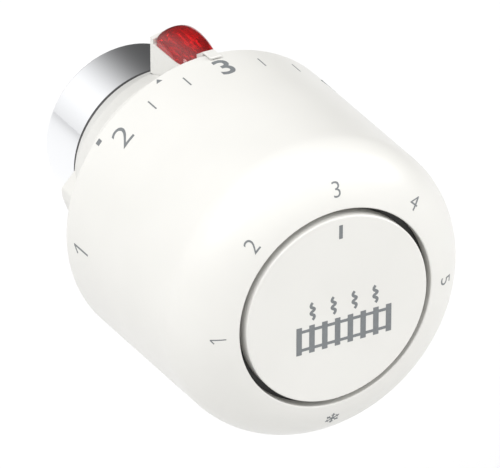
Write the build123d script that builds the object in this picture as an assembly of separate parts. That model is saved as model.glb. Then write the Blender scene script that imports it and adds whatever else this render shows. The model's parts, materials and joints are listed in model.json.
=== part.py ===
from build123d import *
import os
from math import acos, degrees, pi

# Self-acting radiator thermostat head, click-on connection, all sizes in mm.
# Each piece is drawn about its own axis: Z runs from the connection mouth to the
# front disc and Y is up. write() then turns it so that the head lies along -Y.

# ---- driving dimensions -------------------------------------------------
handle_radius = 25.0        # barrel of the handle at its rear rim
handle_taper = 0.0138       # radius lost per mm towards the front
handle_straight = 30.4      # rear rim to where the shoulder starts
handle_wall = 1.8           # barrel wall at the rear rim
shoulder_length = 8.87      # shoulder ellipse, along the axis
shoulder_crest = 1.56       # shoulder ellipse, from its crest out to the lip
shoulder_wall = 1.97        # handle wall round the shoulder
lip_radius = 16.43          # opening in the front of the handle
disc_gap = 0.96             # open ring between lip and disc
disc_proud = 0.32           # disc face in front of the lip
groove_depth = 2.1          # lip down to the dark trim ring
trim_overlap = 1.77         # trim ring under the disc's edge
trim_thick = 1.2
disc_thick = 1.6
disc_wall = 1.5             # skirt of the disc
hook_wall = 1.0             # snap hooks that hold the disc
hook_reach = 0.7
rim_at = 27.8               # rear rim of the handle, from the mouth
rim_round = 0.35            # edge roundings
lip_round = 0.18
disc_round = 0.25
collar_round = 0.3

neck_radius = 10.0          # valve neck that the head clicks onto
neck_clearance = 0.1
insert_wall = 2.4
collar_wall = 1.3
collar_length = 9.8
seam_width = 0.7            # dark insert flange between collar and sleeve
seam_proud = 0.25           # flange above the collar's face
connection_depth = 16.0     # length of the round seat for the neck
plate_room = 2.8            # chamber for the lock plate, beyond the seat
web_thick = 1.3             # wall in front of the neck's end

sleeve_length = 15.1        # base from the seam to its flange
lug_at = 5.0                # rear end of lugs and button, from the seam
drum_length = 6.4           # flange of the base, most of it inside the handle
drum_wall = 2.2
turn_clearance = 0.5        # drum to handle bore, radially
snap_wire = 0.45            # radius of the snap ring's and friction ring's wire
snap_gap = 16.0             # open part of the snap ring, in degrees

setting_lead = 5.5          # sensor travel for one turn of the handle
open_turn = 90.0            # degrees from 3 to fully open
close_turn = 180.0          # degrees from 3 to frost protection
overtravel = 2.0
button_travel = 2.0

button_width = 7.1
button_height = 7.4         # block above the floor of its pocket
lens_width = 6.8
lens_height = 2.75
lens_side = 0.79            # its straight sides
lens_arc = 11.55            # crown's radius, seen from the side
lens_peak = 6.1             # crown's highest place, behind the lens front
lens_length = 8.85
pointer_width = 1.9
pointer_height = 0.5        # pointer above the handle's rim
pointer_reach = 2.2         # over the rim

cage_wall = 1.6
arm_half_angle = 22.0
post_wall = 1.4             # posts from the cage to the trim ring
post_half_angle = 9.0
ring_wall = 2.5             # drive ring
drive_length = 16.5
thread_depth = 1.1          # helical groove in the drive ring
peg_radius = 1.05
peg_reach = 0.9             # peg inside the groove
key_count = 6               # bars that key the drive ring to the handle
key_width = 2.0
carrier_wall = 2.4
carrier_length = 9.4
carrier_thick = 1.4
can_radius = 15.6
can_wall = 0.6
can_length = 22.0
can_round = 1.8
tube_radius = 1.2           # filling tube
tube_bore = 0.6
tube_length = 2.0
plate_thick = 1.5
bellows_outer = 9.5
bellows_inner = 7.0
bellows_wall = 0.3
bellows_turns = 8
bellows_length = 12.5
spindle_radius = 2.0
spindle_tip = 1.2           # radius of its pressed end
head_thick = 1.6
bush_flange = 1.0
bush_wall = 2.0
main_wire = 0.55            # main spring
main_coils = 6
cup_radius = 5.6
cup_wall = 0.8
cup_length = 12.0
cup_floor = 1.5
clip_thick = 0.8
clip_bore = 3.0
cup_coil_radius = 3.6       # overtravel spring
cup_wire = 0.5
cup_coils = 5
pin_radius = 2.4            # pressure pin
pin_length = 5.1
pin_head = 1.5              # its collar inside the cup
pin_button_radius = 4.2     # its pad on the valve's own pin
pin_button_thick = 1.2
button_coil_radius = 1.35   # button spring
button_wire = 0.25
button_coils = 6
plate_thickness = 1.4       # lock plate
foot_width = 6.0            # its tongue behind the button
rear_wall = 0.95            # wall behind the lens
spring_well = 1.9           # radius of the well for the button spring
spring_depth = 3.5
limiter_radius = 0.75
limiter_length = 9.0
limiter_head = 0.25         # head beyond the shank, radially
limiter_head_length = 0.8
limiter_offset = 1.2        # pin centres outside the sleeve's hollow
limiter_lift = 0.2          # pin centres above the axis

# ---- clearances ---------------------------------------------------------
press = 0.02                # parts pushed together
running = 0.05              # shaft in bush
fit = 0.1                   # parts that slide or drop in
loose = 0.2                 # pegs in the helical groove
free = 0.3                  # turning parts side by side

# ---- places along the axis, from the mouth, and radii --------------------
sleeve_at = collar_length + seam_width
flange_at = sleeve_at + sleeve_length
button_rear = sleeve_at + lug_at
button_front = rim_at - 2.5
web_at = connection_depth + 3.4
drum_end = flange_at + drum_length
shoulder_at = rim_at + handle_straight
shoulder_centre = lip_radius - shoulder_crest
shoulder_drop = handle_radius - handle_taper * handle_straight - shoulder_centre
lip_at = shoulder_at + shoulder_length * (1 - (shoulder_crest / shoulder_drop) ** 2) ** 0.5
groove_floor = lip_at - groove_depth
disc_radius = lip_radius - disc_gap
bore_radius = handle_radius - handle_wall
drum_radius = bore_radius - turn_clearance
insert_radius = neck_radius + neck_clearance + insert_wall
collar_bore = insert_radius + fit
collar_radius = collar_bore + collar_wall
chamber_radius = collar_bore + plate_room
sleeve_room = chamber_radius + 0.6      # hollow of the sleeve in front of its web
pocket_floor = chamber_radius - 0.4     # floor of the button's pocket, above the axis
button_top = pocket_floor + button_height
lens_crown = button_top + lens_height
ring_outer = bore_radius - fit
ring_inner = ring_outer - ring_wall
cage_outer = ring_inner - free
cage_at = flange_at + 1.4
drive_front = rim_at + 22.2
carrier_at = drive_front - 13.4
can_at = carrier_at + carrier_thick
can_front = can_at + can_length
plate_front = can_at + plate_thick
bellows_front = plate_front + bellows_length
cup_front = can_at - bush_flange - 1.0
cup_at = cup_front - cup_length
pin_seat = cup_at + 1.6
peg_at = carrier_at + 6.9
bush_radius = spindle_radius + bush_wall
main_spring_radius = bush_radius + 1.1


def ring(outer, inner, start, end):
    """Plain ring or, with no inner radius, a disc between two places."""
    body = Pos(0, 0, start) * extrude(Circle(outer), amount=end - start)
    if inner:
        body -= Pos(0, 0, start - 1) * extrude(Circle(inner), amount=end - start + 2)
    return body


def turned(points, angle=360.0, start_angle=0.0):
    """Outline of (radius, place) points turned about the axis."""
    outline = make_face(Plane.XZ * Polyline(*points, close=True))
    body = revolve(outline, Axis.Z, revolution_arc=angle)
    return Rot(0, 0, start_angle) * body


def sector(outer, inner, start, end, middle, half):
    points = [(inner, start), (outer, start), (outer, end), (inner, end)]
    return turned(points, 2 * half, middle - half)


def block(width, bottom, top, start, end):
    """Box centred on the vertical plane through the axis."""
    return Pos(0, (bottom + top) / 2, (start + end) / 2) * Box(width, top - bottom, end - start)


def coil(mean_radius, wire_radius, start, end, turns):
    """Compression spring between two seats on the axis."""
    height = end - start - 2 * wire_radius
    path = Helix(height / turns, height, mean_radius)
    section = Plane(path @ 0, z_dir=path % 0) * Circle(wire_radius)
    return Pos(0, 0, start + wire_radius) * sweep(section, path=path, is_frenet=True)


def wire_ring(major, minor, place, gap_angle=0.0):
    profile = Plane.XZ * (Pos(major, place) * Circle(minor))
    return Rot(0, 0, 90 + gap_angle / 2) * revolve(profile, Axis.Z, revolution_arc=360 - gap_angle)


def round_groove(radius, place, half_width, depth):
    """Cutter for a square groove round a drum, from its surface inwards."""
    return ring(radius + 1, radius - depth, place - half_width, place + half_width)


# ---- handle body --------------------------------------------------------
ring_shelf = ring_outer - 0.7       # narrower bore in front of the drive ring
ring_pocket = lip_radius + shoulder_wall    # seat of the trim ring behind the lip
inner_centre = shoulder_at - 0.6
inner_length = shoulder_length - shoulder_wall
inner_drop = ring_shelf - shoulder_centre
snap_at = rim_at + 1.2
seal_at = rim_at + 3.0
trim_bore = disc_radius - trim_overlap
trim_front = groove_floor - fit     # the trim ring stands still inside the turning lip
trim_rear = groove_floor - trim_thick


def handle_shell():
    rim = handle_radius
    barrel_front = (rim - handle_taper * handle_straight, shoulder_at)
    end_angle = ellipse_angle(lip_radius, shoulder_drop)
    arc = EllipticalCenterArc((shoulder_centre, shoulder_at), shoulder_drop, shoulder_length,
                              start_angle=0, arc_size=end_angle)
    outline = Polyline((0, lip_at), (0, rim_at), (rim, rim_at), barrel_front)
    face = make_face(Plane.XZ * (outline + arc + Line(arc @ 1, (0, lip_at))))
    shell = revolve(face, Axis.Z)
    rim_edges = shell.edges().filter_by(GeomType.CIRCLE).group_by(Axis.Z)[0]
    shell = fillet(rim_edges, rim_round)

    pocket_angle = ellipse_angle(ring_pocket, inner_drop)
    hollow_arc = EllipticalCenterArc((shoulder_centre, inner_centre), inner_drop, inner_length,
                                     start_angle=0, arc_size=pocket_angle)
    low = Polyline((0, rim_at - 1), (bore_radius, rim_at - 1), (bore_radius, drive_front),
                   (ring_shelf, drive_front), hollow_arc @ 0)
    high = Polyline(hollow_arc @ 1, (ring_pocket, groove_floor), (lip_radius, groove_floor),
                    (lip_radius, lip_at + 1), (0, lip_at + 1), (0, rim_at - 1))
    shell -= revolve(make_face(Plane.XZ * (low + hollow_arc + high)), Axis.Z)
    shell -= ring(bore_radius + 0.35, bore_radius - 1, snap_at - snap_wire - fit,
                  snap_at + snap_wire + fit)
    shell = fillet(shell.edges().filter_by(GeomType.CIRCLE).group_by(Axis.Z)[-1], lip_round)
    for angle in key_angles():
        shell += key_bar(angle, key_width, ring_shelf, bore_radius + 0.2)
    return shell


def ellipse_angle(radius, drop):
    """Angle round the shoulder ellipse at which it has come down to a radius."""
    return degrees(acos((radius - shoulder_centre) / drop))


def key_angles():
    return [360 / key_count * i + 15 for i in range(key_count)]


def key_bar(angle, width, inner, outer):
    """Axial bar that keys the drive ring to the handle."""
    bar = Pos((inner + outer) / 2, 0, drive_front - drive_length / 2)
    return Rot(0, 0, angle) * (bar * Box(outer - inner, width, drive_length))


def drive_ring():
    """Splined ring; its helical groove screws the sensor along as it turns."""
    body = ring(ring_outer, ring_inner, drive_front - drive_length, drive_front)
    groove_bottom = ring_inner + thread_depth
    end_margin = (peg_radius + loose) / ring_inner * 180 / pi
    peg_spread = 240            # first peg to third, round the axis
    span = open_turn + close_turn + peg_spread + 2 * end_margin
    height = setting_lead * span / 360
    top = peg_at + setting_lead * (open_turn + end_margin) / 360
    path = Helix(setting_lead, height, ring_inner, lefthand=True)
    depth = groove_bottom - ring_inner + 0.6
    centre = path @ 0 + Vector(1, 0, 0) * (groove_bottom - ring_inner - depth / 2)
    plane = Plane(centre, x_dir=(1, 0, 0), z_dir=path % 0)
    cutter = sweep(plane * Rectangle(depth, 2 * (peg_radius + loose)), path=path, is_frenet=True)
    start_angle = 90 + span - open_turn - end_margin
    body -= Pos(0, 0, top - height) * (Rot(0, 0, start_angle) * cutter)
    for angle in key_angles():
        body -= key_bar(angle, key_width + 2 * fit, ring_shelf - fit, ring_outer + 1)
    return body


def trim_ring():
    return ring(ring_pocket - free, trim_bore, trim_rear, trim_front)


def front_disc():
    face_at = lip_at + disc_proud
    disc = ring(disc_radius, 0, trim_front, face_at)
    disc = fillet(disc.edges().group_by(Axis.Z)[-1], disc_round)
    disc -= ring(disc_radius - disc_wall, 0, groove_floor - 1, face_at - disc_thick)
    hook_outer = trim_bore - loose
    hook_inner = hook_outer - hook_wall
    hook_front = trim_rear - fit
    hook_rear = hook_front - 0.8
    for angle in (30, 150, 270):
        disc += sector(hook_outer, hook_inner, hook_rear, face_at - 1, angle, 12)
        disc += sector(hook_outer + hook_reach, hook_inner, hook_rear, hook_front, angle, 12)
    return disc


# ---- base body ----------------------------------------------------------
chamber_end = connection_depth + 2.0
neck_room = neck_radius + 0.6
web_hole = cup_radius + 0.6
pocket_side = button_width / 2 + fit
limiter_centre = sleeve_room + limiter_offset
limiter_head_end = button_rear + limiter_head_length


def lug_outline(side):
    """Side lug that holds a limiter pin, as (out from the pin, above the axis)."""
    corners = [(-2.7, 6.1), (-0.5, 3.65), (2.1, 1.0), (1.95, -0.6), (1.0, -3.2), (-1.5, -4.9)]
    points = [(side * (limiter_centre + x), y) for x, y in corners]
    face = make_face(Polyline(*points, close=True))
    tips = face.vertices().sort_by(Axis.X)
    return fillet(tips[:2] if side < 0 else tips[-2:], 0.8)


def base_housing():
    steps = [(0.3, 0), (0.6, 0.3), (3.3, lug_at), (4.7, 9.0), (4.9, sleeve_length)]
    outside = [(0, sleeve_at)] + [(collar_radius + r, sleeve_at + s) for r, s in steps]
    outside += [(drum_radius - 0.6, flange_at), (drum_radius, flange_at + 0.6),
                (drum_radius, drum_end), (0, drum_end)]
    body = turned(outside)
    for side in (-1, 1):
        lug = extrude(lug_outline(side), amount=flange_at - button_rear)
        body += Pos(0, 0, button_rear) * lug
    inside = [(0, sleeve_at - 1), (collar_bore, sleeve_at - 1), (collar_bore, connection_depth),
              (chamber_radius, connection_depth), (chamber_radius, chamber_end),
              (neck_room, chamber_end), (neck_room, web_at), (web_hole, web_at),
              (web_hole, web_at + web_thick), (sleeve_room, web_at + web_thick),
              (sleeve_room, cage_at), (drum_radius - drum_wall, cage_at),
              (drum_radius - drum_wall, drum_end + 1), (0, drum_end + 1)]
    body -= turned(inside)
    well = block(2 * pocket_side + 2.5, pocket_floor - 1.3, sleeve_room + 1, web_at, cage_at)
    body += well
    body -= block(2 * pocket_side, pocket_floor, button_top + 5, button_rear - fit,
                  button_front + loose)
    body -= round_groove(drum_radius, snap_at, snap_wire + fit, 0.25)
    body -= round_groove(drum_radius, seal_at, snap_wire + fit, 0.65)
    for side in (-1, 1):
        bore = ring(limiter_radius + fit, 0, button_rear - 1, button_rear + limiter_length + 0.3)
        sink = ring(limiter_radius + limiter_head + fit, 0, sleeve_at, limiter_head_end + fit)
        body -= Pos(side * limiter_centre, limiter_lift, 0) * (bore + sink)
    return body + pointer()


def pointer():
    """Finger on the drum that leans forward and reaches over the handle's rim."""
    top = handle_radius + pointer_height
    under = handle_radius + 0.15
    root = drum_radius - 1
    rear, rim, tip = flange_at, rim_at - free, rim_at + pointer_reach
    side = Polyline((root, rear), (top - 1.4, rear), (top, rear + 2.1), (top, tip), (under, tip),
                    (under, rim), (root, rim), close=True)
    body = extrude(make_face(Plane.YZ * side), amount=pointer_width / 2, both=True)
    tip_edges = body.edges().group_by(Axis.Y)[-1]
    return chamfer(tip_edges, 0.12)


def chrome_collar():
    body = ring(collar_radius, collar_bore, 0, collar_length)
    rims = body.edges().filter_by(GeomType.CIRCLE)
    outer_rims = rims.filter_by(lambda e: e.radius > collar_bore + collar_wall / 2)
    return fillet(outer_rims, collar_round)


def connector_insert():
    inner = neck_radius + neck_clearance
    body = ring(insert_radius, inner, 0, connection_depth)
    body += ring(collar_radius + seam_proud, inner, collar_length, sleeve_at)
    for angle in range(0, 360, 60):
        slot = Rot(0, 0, angle) * (Pos(insert_radius, 0, connection_depth - 1.6) * Box(2.2, 1.4, 3.4))
        body -= slot
    return body


def guide_cage():
    """Three arms that keep the sensor from turning, and posts that carry the still disc."""
    cage_front = can_front - 3.0
    body = ring(cage_outer, can_radius + 1.6, cage_at, cage_at + 1.5)
    body += ring(cage_outer, can_radius + 0.6, cage_front, cage_front + 3.0)
    for angle in (30, 150, 270):
        body += sector(cage_outer, cage_outer - cage_wall, cage_at, cage_front + 1.5, angle,
                       arm_half_angle)
        body += sector(can_radius + 0.6 + post_wall, can_radius + 0.6, cage_front + 1.5, trim_rear, angle,
                       post_half_angle)
    return body


# ---- release button -----------------------------------------------------
plate_at = connection_depth + 0.3
plate_centre = button_travel / 2
plate_radius = chamber_radius - 0.4 - plate_centre
plate_top = pocket_floor + 0.2
block_bottom = pocket_floor + button_travel + fit
spring_at = button_front - 3.0


def arch(width, corner_height, crown, start, end):
    """Bar with a flat base at button_top and an arched back."""
    half = width / 2
    base = Polyline((-half, corner_height), (-half, button_top), (half, button_top), (half, corner_height))
    back = ThreePointArc((half, corner_height), (0, crown), (-half, corner_height))
    return Pos(0, 0, start) * extrude(make_face(base + back), amount=end - start)


def lens_shape():
    """Domed lens: an arched section swung round a cross axis, on a square base."""
    rear = button_rear + rear_wall
    front = rear + lens_length
    half = lens_width / 2
    peak = front - lens_peak
    axis = Axis((0, lens_crown - lens_arc, peak), (1, 0, 0))
    side_top = button_top + lens_side
    crown = EllipticalCenterArc((0, side_top), half, lens_crown - side_top, start_angle=0, arc_size=180)
    foot = Polyline((-half, side_top), (-half, lens_crown - lens_arc / 2),
                    (half, lens_crown - lens_arc / 2), (half, side_top))
    dome = revolve(Pos(0, 0, peak) * make_face(crown + foot), axis)
    body = dome & block(lens_width, button_top, lens_crown + 1, rear, front)
    rear_edges = body.faces().sort_by(Axis.Z)[0].edges().sort_by(Axis.Y)[-1]
    return fillet(rear_edges, 1.0)


def release_button():
    body = block(button_width, block_bottom, button_top, button_rear, button_front)
    body += arch(button_width, button_top + 0.8, button_top + 1.3, button_rear, button_rear + rear_wall)
    body += block(foot_width, plate_top, block_bottom + 1, plate_at, plate_at + plate_thickness)
    well = extrude(Circle(spring_well), amount=spring_depth + 1)
    return body - Pos(0, block_bottom - 1, spring_at) * Rot(-90, 0, 0) * well


def lock_plate():
    """Keyhole plate: its lower edge sits in the groove of the valve neck."""
    outline = Pos(0, plate_centre) * Circle(plate_radius)
    outline += Pos(0, plate_top - 1.5) * Rectangle(foot_width, 3.0)
    outline -= Pos(0, button_travel) * Circle(neck_room - 0.3)
    return Pos(0, 0, plate_at) * extrude(outline, amount=plate_thickness)


def button_spring():
    spring = coil(button_coil_radius, button_wire, 0, block_bottom + spring_depth - pocket_floor,
                  button_coils)
    return Pos(0, pocket_floor, spring_at) * Rot(-90, 0, 0) * spring


# ---- sensor body --------------------------------------------------------
def sensor_carrier():
    outer = can_radius + carrier_wall
    root = outer - 0.2          # where arms and pegs start
    body = ring(outer, can_radius + 0.15, carrier_at, carrier_at + carrier_length)
    body += ring(outer, can_radius - 3.1, carrier_at, can_at)
    for i in range(3):
        middle = 90 + 120 * i
        body += sector(cage_outer - fit, root, can_at, carrier_at + carrier_length - 0.5,
                       middle, 60 - arm_half_angle - 0.4)
        height = peg_at - setting_lead * i / 3
        peg = extrude(Circle(peg_radius), amount=ring_inner + peg_reach - root)
        body += Pos(0, 0, height) * Rot(0, 0, middle) * Pos(root, 0, 0) * Rot(0, 90, 0) * peg
    return body


def sensor_can():
    body = ring(can_radius, 0, can_at, can_front)
    body = fillet(body.edges().group_by(Axis.Z)[-1], can_round)
    core = ring(can_radius - can_wall, 0, can_at - 1, can_front - can_wall)
    core = fillet(core.edges().group_by(Axis.Z)[-1], can_round - can_wall)
    return body - core - ring(tube_bore, 0, can_front - 2, can_front + 1)


def filling_tube():
    sealed_at = can_front + tube_length
    body = ring(tube_radius, tube_bore, can_front, sealed_at)
    return body + ring(tube_radius, 0, sealed_at, sealed_at + 0.6)


def sensor_plate():
    return ring(can_radius - can_wall - running, bush_radius + press, can_at, plate_front)


def spindle_bush():
    body = ring(cup_radius, spindle_radius + running, can_at - bush_flange, can_at)
    return body + ring(bush_radius, spindle_radius + running, can_at, plate_front + 2.5)


def bellows():
    """Thin corrugated tube between the sensor plate and its end cap."""
    pitch = (bellows_length - 1.0) / bellows_turns
    wave = [(bellows_inner + bellows_wall, plate_front)]
    for i in range(bellows_turns):
        low = plate_front + 0.5 + i * pitch
        wave += [(bellows_inner + bellows_wall, low), (bellows_outer, low + pitch / 2)]
    wave += [(bellows_inner + bellows_wall, bellows_front - 0.5),
             (bellows_inner + bellows_wall, bellows_front)]
    back = [(r - bellows_wall, s) for r, s in reversed(wave)]
    return turned(wave + back)


def main_spring():
    return coil(main_spring_radius, main_wire, plate_front, bellows_front - head_thick, main_coils)


# ---- spindle body -------------------------------------------------------
def bellows_cap():
    return ring(bellows_inner + bellows_wall + 0.4, 0, bellows_front, bellows_front + 0.8)


def spindle():
    body = ring(spindle_radius, 0, cup_front, bellows_front - head_thick)
    body += ring(main_spring_radius + 0.8, 0, bellows_front - head_thick, bellows_front)
    return body + ring(spindle_tip - press, 0, cup_front - 1.2, cup_front)


def overtravel_cup():
    body = ring(cup_radius, 0, cup_at, cup_front)
    body -= ring(cup_radius - cup_wall, 0, cup_at - 1, cup_front - cup_floor)
    body -= ring(cup_radius - cup_wall + 0.4, 0, pin_seat - clip_thick - press, pin_seat)
    return body - ring(spindle_tip, 0, cup_at, cup_front + 1)


def cup_clip():
    outer = cup_radius - cup_wall + 0.35
    points = [(clip_bore, pin_seat - clip_thick), (outer, pin_seat - clip_thick),
              (outer, pin_seat), (clip_bore, pin_seat)]
    return turned(points, 325, 107.5)


def overtravel_spring():
    return coil(cup_coil_radius, cup_wire, pin_seat + pin_head, cup_front - cup_floor, cup_coils)


def pressure_pin():
    pin_end = pin_seat - pin_length
    body = ring(pin_radius, 0, pin_end, pin_seat)
    body += ring(cup_radius - cup_wall - fit, 0, pin_seat, pin_seat + pin_head)
    return body + ring(pin_button_radius, 0, pin_end, pin_end + pin_button_thick)


def limiter_pin(side):
    body = ring(limiter_radius, 0, button_rear, button_rear + limiter_length)
    body += ring(limiter_radius + limiter_head, 0, button_rear, limiter_head_end)
    return Pos(side * limiter_centre, limiter_lift, 0) * body


def write(name, shape):
    """Turns a piece so that the head's front faces -Y, and writes its file."""
    export_step(Rot(90, 0, 0) * shape, f"parts/{name}.step")


os.makedirs("parts", exist_ok=True)
makers = [
    handle_shell, front_disc, trim_ring, drive_ring,
    base_housing, chrome_collar, connector_insert, guide_cage,
    release_button, lock_plate, button_spring,
    sensor_carrier, sensor_can, filling_tube, sensor_plate, spindle_bush, bellows, main_spring,
    bellows_cap, spindle, overtravel_cup, cup_clip, overtravel_spring, pressure_pin,
]
for maker in makers:
    write(maker.__name__, maker())
write("button_lens", lens_shape())
write("snap_ring", wire_ring(drum_radius + 0.3, snap_wire, snap_at, gap_angle=snap_gap))
write("friction_ring", wire_ring(drum_radius - 0.15, snap_wire, seal_at))
write("limiter_pin_left", limiter_pin(-1))
write("limiter_pin_right", limiter_pin(1))
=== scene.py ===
import json
import math

import bmesh
import bpy
import numpy as np
from mathutils import Matrix, Vector


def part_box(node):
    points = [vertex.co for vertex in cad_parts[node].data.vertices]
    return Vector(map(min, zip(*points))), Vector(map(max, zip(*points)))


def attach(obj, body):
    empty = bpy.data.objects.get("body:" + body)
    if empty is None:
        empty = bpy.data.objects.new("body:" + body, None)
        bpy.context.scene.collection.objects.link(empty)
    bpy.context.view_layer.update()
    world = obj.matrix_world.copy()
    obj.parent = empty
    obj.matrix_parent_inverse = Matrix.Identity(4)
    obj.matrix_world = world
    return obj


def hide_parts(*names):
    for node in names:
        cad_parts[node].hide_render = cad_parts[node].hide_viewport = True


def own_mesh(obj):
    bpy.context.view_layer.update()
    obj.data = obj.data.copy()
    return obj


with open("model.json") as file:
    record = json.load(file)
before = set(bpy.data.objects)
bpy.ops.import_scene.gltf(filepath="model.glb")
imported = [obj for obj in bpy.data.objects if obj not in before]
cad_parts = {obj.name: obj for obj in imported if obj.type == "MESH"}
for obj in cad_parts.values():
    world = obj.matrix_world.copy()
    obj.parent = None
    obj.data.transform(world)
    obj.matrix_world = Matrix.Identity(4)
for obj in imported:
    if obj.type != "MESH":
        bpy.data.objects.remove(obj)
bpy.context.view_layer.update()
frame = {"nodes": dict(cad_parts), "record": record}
scene = bpy.context.scene
mm = 0.001
print("frame loaded,", len(frame["nodes"]), "nodes")

# small tools shared by every piece

pieceWeld = 0.0005 * mm    # corners this close become one when a piece is finished
cadWeld = 0.001 * mm       # the same for a copied CAD node, whose triangles are loose
onPlane = 1e-8             # corners this close to a cutting plane lie on it, in metres


def srgb(hexColour):
    # sRGB hex to the linear colour that the shader sockets take
    parts = [int(hexColour[i:i + 2], 16) / 255 for i in (1, 3, 5)]
    return (*[p / 12.92 if p <= 0.04045 else ((p + 0.055) / 1.055) ** 2.4 for p in parts], 1)


def addNode(tree, kind, values={}, links={}):
    # a value's key is an input's name or number, or else one of the node's own settings
    node = tree.nodes.new(kind)
    for key, value in values.items():
        if isinstance(key, int) or key in node.inputs:
            node.inputs[key].default_value = value
        else:
            setattr(node, key, value)
    for key, source in links.items():
        tree.links.new(source, node.inputs[key])
    return node


def startMaterial(name, **sockets):
    material = bpy.data.materials.new(name)
    material.use_nodes = True
    shader = material.node_tree.nodes["Principled BSDF"]
    for key, value in sockets.items():
        shader.inputs[key.replace("_", " ")].default_value = value
    return material, material.node_tree, shader


def finishPiece(bm, name, body, material, replaced=(), sharp=30):
    # edges that turn more than sharp degrees stay crisp
    bmesh.ops.remove_doubles(bm, verts=bm.verts, dist=pieceWeld)
    bmesh.ops.recalc_face_normals(bm, faces=bm.faces)
    for face in bm.faces:
        face.smooth = True
    for edge in bm.edges:
        edge.smooth = edge.calc_face_angle(math.pi) < math.radians(sharp)
    mesh = bpy.data.meshes.new(name)
    bm.to_mesh(mesh)
    bm.free()
    mesh.materials.append(material)
    piece = bpy.data.objects.new(name, mesh)
    scene.collection.objects.link(piece)
    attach(piece, body)
    if replaced:
        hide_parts(*replaced)
    return piece


def copyNode(node):
    # a welded copy of a CAD node's mesh, for pieces that carry on from its shape
    bm = bmesh.new()
    bm.from_mesh(frame["nodes"][node].data)
    bmesh.ops.remove_doubles(bm, verts=bm.verts, dist=cadWeld)
    return bm


def meshOfCurve(curve):
    # turns a text or a curve into a mesh, and leaves nothing of it in the scene
    holder = bpy.data.objects.new(curve.name, curve)
    scene.collection.objects.link(holder)
    bpy.context.view_layer.update()
    mesh = bpy.data.meshes.new_from_object(holder)
    bpy.data.objects.remove(holder)
    bm = bmesh.new()
    bm.from_mesh(mesh)
    bpy.data.meshes.remove(mesh)
    return bm


# studio: camera, pale floor, soft room with one grey side, two big soft lamps

studio = {
    "cameraPlace": (-0.3918, -0.7428, 0.4471),
    "cameraLook": (0.4258, 0.7632, -0.4861),
    "lens": 435,
    "clipStart": 0.05,
    "floorDrop": 0.10,
    "floorSize": 8,
    "floorColour": "#DCDCDC",
    "floorRoughness": 0.9,
    "horizonLight": 0.90,             # the room is brighter overhead than at the horizon
    "overheadLight": 1.45,
    "overheadFrom": 0.8,              # upward share of the direction where it is brightest
    "roomColour": "#FFFFFF",
    "greyColour": "#555555",
    "greySide": (0.72, 0.62, 0.30),   # direction of the grey side, for the chrome to mirror
    "greyFrom": 0.19,                 # the grey starts here and is full at greyTo, as cosines
    "greyTo": 1.0,
    # lamps: place in metres, size across in metres, power in watts
    "lamps": [((-0.80, -0.30, 1.00), 0.8, 7.0), ((1.10, -0.50, 0.75), 0.9, 9.0)],
}

scene.view_settings.view_transform = "Standard"
cameraData = bpy.data.cameras.new("camera")
cameraData.lens = studio["lens"]
cameraData.clip_start = studio["clipStart"]
camera = bpy.data.objects.new("camera", cameraData)
scene.collection.objects.link(camera)
camera.location = studio["cameraPlace"]
camera.rotation_mode = "QUATERNION"
camera.rotation_quaternion = Vector(studio["cameraLook"]).to_track_quat("-Z", "Y")
scene.camera = camera

room = bpy.data.worlds.new("softRoom")
scene.world = room
room.use_nodes = True
tree = room.node_tree
background = tree.nodes["Background"]
direction = addNode(tree, "ShaderNodeTexCoord")
towardGrey = addNode(tree, "ShaderNodeVectorMath",
                     {"operation": "DOT_PRODUCT", 1: Vector(studio["greySide"]).normalized()},
                     {0: direction.outputs["Generated"]})
fade = addNode(tree, "ShaderNodeMapRange",
               {"interpolation_type": "SMOOTHSTEP",
                "From Min": studio["greyFrom"], "From Max": studio["greyTo"]},
               {"Value": towardGrey.outputs["Value"]})
roomColour = addNode(tree, "ShaderNodeMix",
                     {"data_type": "RGBA", 6: srgb(studio["roomColour"]), 7: srgb(studio["greyColour"])},
                     {0: fade.outputs["Result"]})
upward = addNode(tree, "ShaderNodeSeparateXYZ", links={0: direction.outputs["Generated"]})
strength = addNode(tree, "ShaderNodeMapRange",
                   {"From Max": studio["overheadFrom"], "To Min": studio["horizonLight"],
                    "To Max": studio["overheadLight"]},
                   {"Value": upward.outputs["Z"]})
tree.links.new(strength.outputs["Result"], background.inputs["Strength"])
tree.links.new(roomColour.outputs[2], background.inputs["Color"])

for place, size, power in studio["lamps"]:
    lampData = bpy.data.lights.new("bigSoftLamp", "AREA")
    lampData.shape = "DISK"
    lampData.size = size
    lampData.energy = power
    lamp = bpy.data.objects.new("bigSoftLamp", lampData)
    scene.collection.objects.link(lamp)
    lamp.location = place
    lamp.rotation_mode = "QUATERNION"
    lamp.rotation_quaternion = (-Vector(place)).to_track_quat("-Z", "Y")

# matt paper has no shine, so the floor fades evenly into the room
floorPaper, tree, shader = startMaterial(
    "backdrop paper, matt", Base_Color=srgb(studio["floorColour"]), Roughness=studio["floorRoughness"])
bm = bmesh.new()
bmesh.ops.create_grid(bm, x_segments=1, y_segments=1, size=studio["floorSize"])
bmesh.ops.translate(bm, verts=bm.verts, vec=(0, 0, -studio["floorDrop"]))
floorMesh = bpy.data.meshes.new("floor")
bm.to_mesh(floorMesh)
bm.free()
floorMesh.materials.append(floorPaper)
floor = bpy.data.objects.new("floor", floorMesh)
scene.collection.objects.link(floor)
print("studio ready")

# materials, one for each finish

finish = {}

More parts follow.
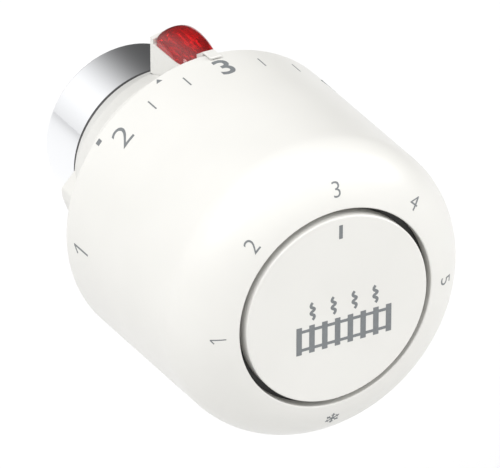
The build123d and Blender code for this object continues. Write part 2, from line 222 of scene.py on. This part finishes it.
# moulded pieces: faint waviness from the mould, and a trace of colour change where the melt flowed
mouldedSkin = {
    "waveDetail": 3.0, "waveRoughness": 0.55, "waveStrength": 0.6,
    "flowSize": 14, "flowDetail": 2.0,    # mm from one change of colour to the next
    "flowLow": 0.3, "flowHigh": 0.7,      # the noise seldom leaves this span
}
mouldings = {
    # slot: (material, colour, flow colour, its share, roughness, IOR, wave size in mm, wave depth in mm)

    # polished mould: a soft sheen with broad highlights, on a white that is a touch warm
    "handle_white": ("ABS, injection moulded, gloss", "#D0CFCB", "#DDDCD8", 0.25, 0.32, 1.53, 1.6, 0.004),
    # a little duller than the handle, so that the disc reads as a cap of its own
    "disc_white": ("ABS cap, injection moulded, satin", "#D0CFCB", "#DDDCD8", 0.25, 0.38, 1.53, 1.2, 0.004),
    # a plainer mould: the same white, slightly greyer and closer in its waves
    "housing_white": ("ABS housing, injection moulded", "#CDCCC8", "#DDDCD8", 0.25, 0.36, 1.53, 1.0, 0.005),
    # the housing's white again, a shade smoother because the piece is small
    "button_white": ("ABS button, injection moulded", "#CDCCC8", "#DDDCD8", 0.25, 0.36, 1.53, 1.0, 0.004),
    # almost black and dull: this dark colour is painted shade, the shadow in the gap round the disc put
    # into the ring, which draws the thin dark line there
    "trim_dark": ("ABS trim ring, painted gap shade, moulded", "#1E1E1C", "#2A2A28", 0.6, 0.45, 1.53, 0.6, 0.004),
    # glass fibres near the surface make it dry and faintly mottled
    "insert_dark": ("nylon, glass filled, moulded dark", "#2E2E2F", "#454546", 0.7, 0.5, 1.53, 0.4, 0.008),
    # undyed: milky, waxy and even
    "acetal_white": ("acetal, natural, moulded", "#DEDCD2", "#E8E6DC", 0.5, 0.42, 1.48, 1.0, 0.003),
    # a dull mid grey with a slightly uneven tone
    "nylon_grey": ("nylon, grey, moulded", "#8B8D8F", "#9A9C9E", 0.6, 0.5, 1.53, 0.8, 0.005),
    # black and dry, with hardly a highlight
    "seal_rubber": ("nitrile rubber, moulded", "#151515", "#242424", 0.6, 0.75, 1.52, 0.3, 0.004),
}
for slotName, moulding in mouldings.items():
    name, colour, flowColour, share, roughness, ior, waveSize, waveDepth = moulding
    finish[slotName], tree, shader = startMaterial(name, Roughness=roughness, IOR=ior)
    place = addNode(tree, "ShaderNodeTexCoord")
    waves = addNode(tree, "ShaderNodeTexNoise",
                    {"Scale": 1 / (waveSize * mm), "Detail": mouldedSkin["waveDetail"],
                     "Roughness": mouldedSkin["waveRoughness"]},
                    {"Vector": place.outputs["Object"]})
    bump = addNode(tree, "ShaderNodeBump",
                   {"Strength": mouldedSkin["waveStrength"], "Distance": waveDepth * mm},
                   {"Height": waves.outputs["Fac"]})
    flow = addNode(tree, "ShaderNodeTexNoise",
                   {"Scale": 1 / (mouldedSkin["flowSize"] * mm), "Detail": mouldedSkin["flowDetail"]},
                   {"Vector": place.outputs["Object"]})
    flowShare = addNode(tree, "ShaderNodeMapRange",
                        {"From Min": mouldedSkin["flowLow"], "From Max": mouldedSkin["flowHigh"],
                         "To Max": share},
                        {"Value": flow.outputs["Fac"]})
    shade = addNode(tree, "ShaderNodeMix", {"data_type": "RGBA", 6: srgb(colour), 7: srgb(flowColour)},
                    {0: flowShare.outputs["Result"]})
    tree.links.new(bump.outputs["Normal"], shader.inputs["Normal"])
    tree.links.new(shade.outputs[2], shader.inputs["Base Color"])

# chrome on plastic: a deep mirror of the room, clouded here and there by the faintest haze
chrome = {"colour": "#F5F6F8", "hazeSize": 3, "hazeDetail": 4.0, "clearest": 0.035, "haziest": 0.075}
finish["collar_chrome"], tree, shader = startMaterial(
    "chrome plate, bright, on ABS", Metallic=1.0, Base_Color=srgb(chrome["colour"]))
place = addNode(tree, "ShaderNodeTexCoord")
haze = addNode(tree, "ShaderNodeTexNoise",
               {"Scale": 1 / (chrome["hazeSize"] * mm), "Detail": chrome["hazeDetail"]},
               {"Vector": place.outputs["Object"]})
hazeRange = addNode(tree, "ShaderNodeMapRange", {"To Min": chrome["clearest"], "To Max": chrome["haziest"]},
                    {"Value": haze.outputs["Fac"]})
tree.links.new(hazeRange.outputs["Result"], shader.inputs["Roughness"])

# worked metals: tool lines break up the mirror; real ones are too fine to show and are drawn this coarse
toolLines = {"detail": 2.0, "smoother": 0.06, "rougher": 0.08, "strength": 0.5, "depth": 0.004}
metals = {
    # slot: (material, colour, darker colour, roughness, line spacing in mm, change along each axis)

    # bright wire with a grey bloom from the die
    "spring_steel": ("spring steel, drawn wire", "#A7A8AA", "#7F8082", 0.28, 0.25, (1, 1, 1)),
    # a flat, even sheen, with lines through the sheet's thickness
    "plate_steel": ("stainless sheet, rolled and punched", "#B4B4B6", "#8E8E90", 0.30, 0.15, (1, 0.02, 1)),
    # clean rings of light round a turned pin
    "pin_steel": ("stainless bar, turned", "#B2B2B4", "#8A8A8C", 0.24, 0.20, (0.05, 1, 0.05)),
    # zinc is bluish and duller than bare steel
    "limiter_steel": ("steel wire, zinc plated", "#A9AAAD", "#85868A", 0.34, 0.20, (0.05, 1, 0.05)),
    # pale and soft, with the rings that drawing leaves
    "can_aluminium": ("aluminium, deep drawn", "#C9CBCD", "#A4A6A9", 0.30, 0.30, (0.05, 1, 0.05)),
    # warm pink, brown in its darker spots
    "tube_copper": ("copper tube, drawn", "#B87350", "#8E5238", 0.28, 0.20, (1, 1, 1)),
    # yellow and bright, as freshly cut
    "plate_brass": ("brass, turned and stamped", "#C8A45C", "#A07F3F", 0.27, 0.20, (0.05, 1, 0.05)),
    # the same yellow, rougher from the drawing tool
    "cup_brass": ("brass cup, deep drawn", "#C8A45C", "#9B7A3C", 0.30, 0.30, (0.05, 1, 0.05)),
    # redder than brass, with darker rings round its folds
    "bellows_bronze": ("bronze bellows, hydroformed", "#BF8C58", "#8F6238", 0.26, 0.35, (0.05, 1, 0.05)),
}
for slotName, (name, colour, darker, roughness, spacing, axisChange) in metals.items():
    finish[slotName], tree, shader = startMaterial(name, Metallic=1.0)
    place = addNode(tree, "ShaderNodeTexCoord")
    along = addNode(tree, "ShaderNodeVectorMath", {"operation": "MULTIPLY", 1: axisChange},
                    {0: place.outputs["Object"]})
    lines = addNode(tree, "ShaderNodeTexNoise",
                    {"Scale": 1 / (spacing * mm), "Detail": toolLines["detail"]},
                    {"Vector": along.outputs["Vector"]})
    shade = addNode(tree, "ShaderNodeMix", {"data_type": "RGBA", 6: srgb(darker), 7: srgb(colour)},
                    {0: lines.outputs["Fac"]})
    rough = addNode(tree, "ShaderNodeMapRange",
                    {"To Min": roughness - toolLines["smoother"],
                     "To Max": roughness + toolLines["rougher"]},
                    {"Value": lines.outputs["Fac"]})
    bump = addNode(tree, "ShaderNodeBump",
                   {"Strength": toolLines["strength"], "Distance": toolLines["depth"] * mm},
                   {"Height": lines.outputs["Fac"]})
    tree.links.new(shade.outputs[2], shader.inputs["Base Color"])
    tree.links.new(rough.outputs["Result"], shader.inputs["Roughness"])
    tree.links.new(bump.outputs["Normal"], shader.inputs["Normal"])

# clear red plastic: light goes in and comes back red, deeper where the melt streaks are
clearRed = {
    "deep": "#D2000C", "bright": "#FF2224", "roughness": 0.05, "ior": 1.58,
    "letsThrough": 0.85,                         # share of the light that goes in
    "streakSize": 0.7, "streakDetail": 2.0,      # mm across a streak
    "alongY": 0.08,                              # the streaks run along Y
}
finish["lens_red"], tree, shader = startMaterial(
    "polycarbonate, clear red, moulded", Roughness=clearRed["roughness"], IOR=clearRed["ior"],
    Transmission_Weight=clearRed["letsThrough"])
place = addNode(tree, "ShaderNodeTexCoord")
stretched = addNode(tree, "ShaderNodeVectorMath", {"operation": "MULTIPLY", 1: (1, clearRed["alongY"], 1)},
                    {0: place.outputs["Object"]})
streaks = addNode(tree, "ShaderNodeTexNoise",
                  {"Scale": 1 / (clearRed["streakSize"] * mm), "Detail": clearRed["streakDetail"]},
                  {"Vector": stretched.outputs["Vector"]})
shade = addNode(tree, "ShaderNodeMix",
                {"data_type": "RGBA", 6: srgb(clearRed["deep"]), 7: srgb(clearRed["bright"])},
                {0: streaks.outputs["Fac"]})
tree.links.new(shade.outputs[2], shader.inputs["Base Color"])

# pad printing ink: flat grey without shine, thinner in spots where the pad lifted
padInk = {"full": "#66696B", "thin": "#767A7C", "roughness": 0.6, "spotSize": 0.5, "spotDetail": 2.0}
printInk, tree, shader = startMaterial("pad printing ink, grey, matt", Roughness=padInk["roughness"])
place = addNode(tree, "ShaderNodeTexCoord")
spots = addNode(tree, "ShaderNodeTexNoise",
                {"Scale": 1 / (padInk["spotSize"] * mm), "Detail": padInk["spotDetail"]},
                {"Vector": place.outputs["Object"]})
shade = addNode(tree, "ShaderNodeMix",
                {"data_type": "RGBA", 6: srgb(padInk["full"]), 7: srgb(padInk["thin"])},
                {0: spots.outputs["Fac"]})
tree.links.new(shade.outputs[2], shader.inputs["Base Color"])

slotOf = {row["node"]: row["material_slot"] for row in frame["record"]["subparts"]}
for nodeName, cadNode in frame["nodes"].items():
    for materialSlot in cadNode.material_slots:
        materialSlot.material = finish[slotOf[nodeName]]
print("materials ready")

# springs and bellows: welded copies of their CAD nodes, each put on its body in place of the node

springy = {
    # node: (piece, body, joint, axis, fixed end in mm along it, length in mm, travel in mm)
    "bellows": ("bellowsCorrugated", "sensor", "spindle_stroke", (0, 1, 0), -39.5, 12.5, 2.5),
    "main_spring": ("mainSpring", "sensor", "spindle_stroke", (0, 1, 0), -39.5, 10.9, 2.5),
    "overtravel_spring": ("overtravelSpring", "spindle", "overtravel", (0, 1, 0), -34.5, 7.4, 2.0),
    "button_spring": ("buttonSpring", "base", "release_press", (0, 0, 1), 15.0, 5.6, 2.0),
}
for nodeName, (pieceName, body, joint, axis, fixedEnd, length, travel) in springy.items():
    slotName = slotOf[nodeName]
    piece = finishPiece(copyNode(nodeName), pieceName, body, finish[slotName], [nodeName])
    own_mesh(piece)
print("springs and bellows ready")

# red lens: welded from its CAD shape, with blind ribs cut up into its flat underside

lensRibs = {
    "pitch": 0.36, "depth": 0.6,    # mm
    "margin": 0.6,                  # mm of plain underside left round the ribs
    "airGap": 0.03,                 # mm between lens and button, so that the lens lights up
    "sharp": 35,                    # degrees, edges that turn more stay crisp
    "flatWithin": 0.01,             # mm above its lowest point, still the underside
    "facingDown": -0.99,            # a normal's z below this faces down
}
lensLow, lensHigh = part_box("button_lens")
ribsLow = lensLow.y + lensRibs["margin"] * mm
ribsHigh = lensHigh.y - lensRibs["margin"] * mm


def undersideFaces(bm):
    level = lensLow.z + lensRibs["flatWithin"] * mm
    return [f for f in bm.faces if f.normal.z < lensRibs["facingDown"] and f.calc_center_median().z < level]


bm = copyNode("button_lens")
bmesh.ops.dissolve_faces(bm, faces=undersideFaces(bm))
ribCount = int((lensHigh.x - lensLow.x - 2 * lensRibs["margin"] * mm) / (lensRibs["pitch"] * mm))
ribSides = [(i - ribCount / 2) * lensRibs["pitch"] * mm for i in range(ribCount + 1)]
cuts = [((x, 0, 0), (1, 0, 0)) for x in ribSides] + [((0, y, 0), (0, 1, 0)) for y in (ribsLow, ribsHigh)]
for place, across in cuts:
    faces = undersideFaces(bm)
    edges = dict.fromkeys(edge for face in faces for edge in face.edges)
    verts = dict.fromkeys(vert for face in faces for vert in face.verts)
    bmesh.ops.bisect_plane(bm, geom=[*faces, *edges, *verts], dist=onPlane, plane_co=place, plane_no=across)
for left, right in zip(ribSides[0:-1:2], ribSides[1::2]):
    rib = []
    for face in undersideFaces(bm):
        middle = face.calc_center_median()
        if left < middle.x < right and ribsLow < middle.y < ribsHigh:
            rib.append(face)
    pushed = bmesh.ops.extrude_face_region(bm, geom=rib)["geom"]
    bmesh.ops.delete(bm, geom=rib, context="FACES_ONLY")
    ribTop = [g for g in pushed if isinstance(g, bmesh.types.BMVert)]
    bmesh.ops.translate(bm, verts=ribTop, vec=(0, 0, lensRibs["depth"] * mm))
for vert in bm.verts:
    vert.co.z = max(vert.co.z, lensLow.z + lensRibs["airGap"] * mm)
finishPiece(bm, "buttonLens", "release", finish["lens_red"], ["button_lens"], lensRibs["sharp"])
print("lens ready")

# printed scales: flat marks are cut into small cells and laid on the handle's skin

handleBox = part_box("handle_shell")
skin = {
    # the handle's outline from rear rim to front lip, in mm
    "rim": -handleBox[1].y / mm,
    "rimRadius": handleBox[1].x / mm,
    "straight": 30.4,           # length of the barrel
    "taper": 0.0138,            # how much its radius shrinks for each mm forward
    "shoulderLength": 8.87,     # the shoulder is most of a quarter ellipse, this long
    "shoulderCentre": 14.87,    # radius at which the ellipse's centre lies
    "lipRadius": 16.6,          # where the shoulder ends, round the disc
    "outlineSteps": 120,        # points that stand for the shoulder's curve
    "slopeStep": 0.05,          # the skin's slope is taken over this much each way
    "ink": 0.02,                # how far the ink stands proud
}
shoulderAt = skin["rim"] + skin["straight"]
shoulderRadius = skin["rimRadius"] - skin["taper"] * skin["straight"]
shoulderWidth = shoulderRadius - skin["shoulderCentre"]
turnAtLip = math.acos((skin["lipRadius"] - skin["shoulderCentre"]) / shoulderWidth)
turns = np.linspace(turnAtLip, 0, skin["outlineSteps"])
skinRadius = np.append(skin["shoulderCentre"] + shoulderWidth * np.cos(turns), skin["rimRadius"])
skinDepth = np.append(shoulderAt + skin["shoulderLength"] * np.sin(turns), skin["rim"])
skinLength = np.append(0, np.cumsum(np.hypot(np.diff(skinRadius), np.diff(skinDepth))))


def skinAt(length):
    # radius and depth of the skin at a length along its outline from the lip
    return np.interp(length, skinLength, skinRadius), np.interp(length, skinLength, skinDepth)


def layOnSkin(bm, angle, depth):
    # angle in degrees from the top toward -X, depth in mm in front of the mouth
    # the mark's own up points to the rim
    start = np.interp(-depth, -skinDepth, skinLength)
    radiusHere = skinAt(start)[0]
    for vert in bm.verts:
        across, up, lift = vert.co / mm
        radius, out = skinAt(start + up)
        radiusNext, outNext = skinAt(start + up + skin["slopeStep"])
        radiusLast, outLast = skinAt(start + up - skin["slopeStep"])
        radiusChange, outChange = radiusNext - radiusLast, outNext - outLast
        change = math.hypot(radiusChange, outChange)
        radius, out = radius - outChange / change * lift, out + radiusChange / change * lift
        turn = math.radians(angle) - across / radiusHere
        vert.co = Vector((-radius * math.sin(turn), -out, radius * math.cos(turn))) * mm


lettering = {
    "digitShare": 0.68,    # height of a digit as a share of the font's size
    "curveSteps": 6,
    "markCell": 0.4,       # mm, size of the cells that let a mark bend
    "smallCell": 0.3,
}


def flatText(text, height, weight):
    # a numeral as a thin solid, centred, its front face toward +Z; weight in mm fattens its strokes
    curve = bpy.data.curves.new("numeral", "FONT")
    curve.body = text
    curve.size = height / lettering["digitShare"] * mm
    curve.offset = weight * mm
    curve.extrude = skin["ink"] * mm
    curve.resolution_u = lettering["curveSteps"]
    curve.align_x = "CENTER"
    bm = meshOfCurve(curve)
    low = min(v.co.y for v in bm.verts)
    high = max(v.co.y for v in bm.verts)
    bmesh.ops.translate(bm, verts=bm.verts, vec=(0, -(low + high) / 2, 0))
    return bm


def flatBars(bars):
    # thin solid bars: (centre x, centre y, length, width, turn in degrees), in mm
    bm = bmesh.new()
    for x, y, length, width, turn in bars:
        place = Matrix.Translation((x * mm, y * mm, 0)) @ Matrix.Rotation(math.radians(turn), 4, "Z")
        shape = Matrix.Diagonal((width * mm, length * mm, 2 * skin["ink"] * mm, 1))
        bmesh.ops.create_cube(bm, size=1, matrix=place @ shape)
    return bm


def printOnSkin(bm, name, angle, depth, cell):
    # slices the mark into cells, so that it can follow the curved skin, and prints it there
    for axis in ((1, 0, 0), (0, 1, 0)):
        reach = max(abs(v.co.dot(Vector(axis))) for v in bm.verts)
        steps = int(reach / (cell * mm)) + 1
        for i in range(-steps, steps + 1):
            bmesh.ops.bisect_plane(bm, geom=bm.verts[:] + bm.edges[:] + bm.faces[:], dist=onPlane,
                                   plane_co=Vector(axis) * i * cell * mm, plane_no=axis)
    layOnSkin(bm, angle, depth)
    finishPiece(bm, name, "handle", printInk)


# frost sign: three crossed bars with a short bar near each end, for a mark 2.5 mm high
frost = {"height": 2.5, "barWidth": 0.24, "tipAt": 0.88, "tipLength": 0.7, "tipWidth": 0.18}
frostBars = [(0, 0, frost["height"], frost["barWidth"], turn) for turn in (0, 60, 120)]
for turn in range(0, 360, 60):
    x, y = -frost["tipAt"] * math.sin(math.radians(turn)), frost["tipAt"] * math.cos(math.radians(turn))
    frostBars.append((x, y, frost["tipLength"], frost["tipWidth"], turn + 90))

# a plain one: stem and flag as (centre x, centre y, length, turn), in shares of the numeral's height
plainOne = {"stem": (0, 0, 1, 0), "flag": (-0.13, 0.36, 0.34, -48), "width": 0.1}

frontScale = {
    "depth": 65.95, "height": 2.45, "weight": -0.03,
    "marks": {"3": -1.3, "2": 45, "1": 91.5, "star": 180, "4": -45.2, "5": -93.2},
}
rearScale = {
    "depth": 32.65, "height": 4.3, "weight": -0.05,
    "boldWeight": 0.10,    # for the 3, the usual setting
    "marks": {"3": 0, "2": 45, "1": 90, "star": 180, "4": -45, "5": -90},
    "dashes": [15, 30, -15, -30],
    "dashLength": 2.6, "dashWidth": 0.22,
    # the small square and triangle, nearer the rim than the numerals
    "smallDepth": 28.95, "squareAt": 52, "squareSize": 0.95, "triangleAt": 22, "triangleRadius": 0.62,
}


def numeral(text, height, weight):
    if text == "star":
        grow = height / frost["height"]
        return flatBars([(x * grow, y * grow, length * grow, width, turn)
                         for x, y, length, width, turn in frostBars])
    if text == "1":
        width = plainOne["width"] * height + 2 * weight
        return flatBars([(x * height, y * height, length * height, width, turn)
                         for x, y, length, turn in (plainOne["stem"], plainOne["flag"])])
    return flatText(text, height, weight)


for scaleName, scaleSet in (("front", frontScale), ("rear", rearScale)):
    for text, angle in scaleSet["marks"].items():
        weight = scaleSet["boldWeight"] if text == "3" and scaleName == "rear" else scaleSet["weight"]
        bm = numeral(text, scaleSet["height"], weight)
        printOnSkin(bm, "print_" + scaleName + "_" + text, angle, scaleSet["depth"], lettering["markCell"])
for angle in rearScale["dashes"]:
    bm = flatBars([(0, 0, rearScale["dashLength"], rearScale["dashWidth"], 0)])
    printOnSkin(bm, "print_dash_" + str(angle % 360), angle, rearScale["depth"], lettering["markCell"])
bm = flatBars([(0, 0, rearScale["squareSize"], rearScale["squareSize"], 0)])
printOnSkin(bm, "print_square", rearScale["squareAt"], rearScale["smallDepth"], lettering["smallCell"])
bm = bmesh.new()
radius = rearScale["triangleRadius"] * mm
bmesh.ops.create_cone(bm, cap_ends=True, segments=3, radius1=radius, radius2=radius,
                      depth=2 * skin["ink"] * mm)
printOnSkin(bm, "print_triangle", rearScale["triangleAt"], rearScale["smallDepth"], lettering["smallCell"])
print("printed scales ready")

# disc, which stands still: the index bar that the front scale turns past, and a radiator with rising warmth

discMarks = {
    # in mm on the disc's face, from its centre
    "barPlace": (0.5, 13.0), "barSize": (2.3, 0.62),
    "centre": (1.15, -2.0), "baseDrop": 4.2,    # the radiator stands this far below the centre
    "fins": 8, "finGap": 2.2, "finHeight": 4.7, "finWidth": 0.95,
    "railWidth": 0.5, "railInset": 0.8,
    "waves": 4, "waveGap": 3.6, "waveHeight": 2.9, "waveWidth": 0.5,
    "waveSwing": 0.6, "wavePoints": 6, "waveRise": 2.3,    # middle of the waves above the fins
}
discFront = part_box("front_disc")[0].y
centreX, centreZ = discMarks["centre"]
finBottom = centreZ - discMarks["baseDrop"]
finTop = finBottom + discMarks["finHeight"]
firstFin = centreX - (discMarks["fins"] - 1) * discMarks["finGap"] / 2
firstWave = centreX - (discMarks["waves"] - 1) * discMarks["waveGap"] / 2


def printOnDisc(bm, name):
    for vert in bm.verts:
        across, up, lift = vert.co
        vert.co = Vector((across, discFront - lift, up))
    finishPiece(bm, name, "base", printInk)


printOnDisc(flatBars([(*discMarks["barPlace"], *discMarks["barSize"], 0)]), "print_index_bar")

radiatorBars = []
for i in range(discMarks["fins"]):
    finX = firstFin + i * discMarks["finGap"]
    radiatorBars.append((finX, (finBottom + finTop) / 2, discMarks["finHeight"], discMarks["finWidth"], 0))
    if i:
        for railZ in (finBottom + discMarks["railInset"], finTop - discMarks["railInset"]):
            railX = finX - discMarks["finGap"] / 2
            railLength = discMarks["finGap"] - discMarks["finWidth"]
            radiatorBars.append((railX, railZ, railLength, discMarks["railWidth"], 90))
printOnDisc(flatBars(radiatorBars), "print_radiator")

for i in range(discMarks["waves"]):
    curve = bpy.data.curves.new("wave", "CURVE")
    curve.dimensions = "3D"
    curve.bevel_depth = discMarks["waveWidth"] / 2 * mm
    curve.bevel_resolution = 2
    curve.use_fill_caps = True
    spline = curve.splines.new("NURBS")
    last = discMarks["wavePoints"] - 1
    spline.points.add(last)
    for j, point in enumerate(spline.points):
        side = 0 if j in (0, last) else (1 if j % 2 else -1)
        pointUp = (j / last - 0.5) * discMarks["waveHeight"]
        point.co = (side * discMarks["waveSwing"] * mm, pointUp * mm, 0, 1)
    spline.order_u = 3
    spline.use_endpoint_u = True
    bm = meshOfCurve(curve)
    bmesh.ops.scale(bm, verts=bm.verts, vec=(1, 1, 2 * skin["ink"] / discMarks["waveWidth"]))
    waveX = firstWave + i * discMarks["waveGap"]
    bmesh.ops.translate(bm, verts=bm.verts, vec=(waveX * mm, (finTop + discMarks["waveRise"]) * mm, 0))
    printOnDisc(bm, "print_warmth_" + str(i + 1))
print("disc marks ready")
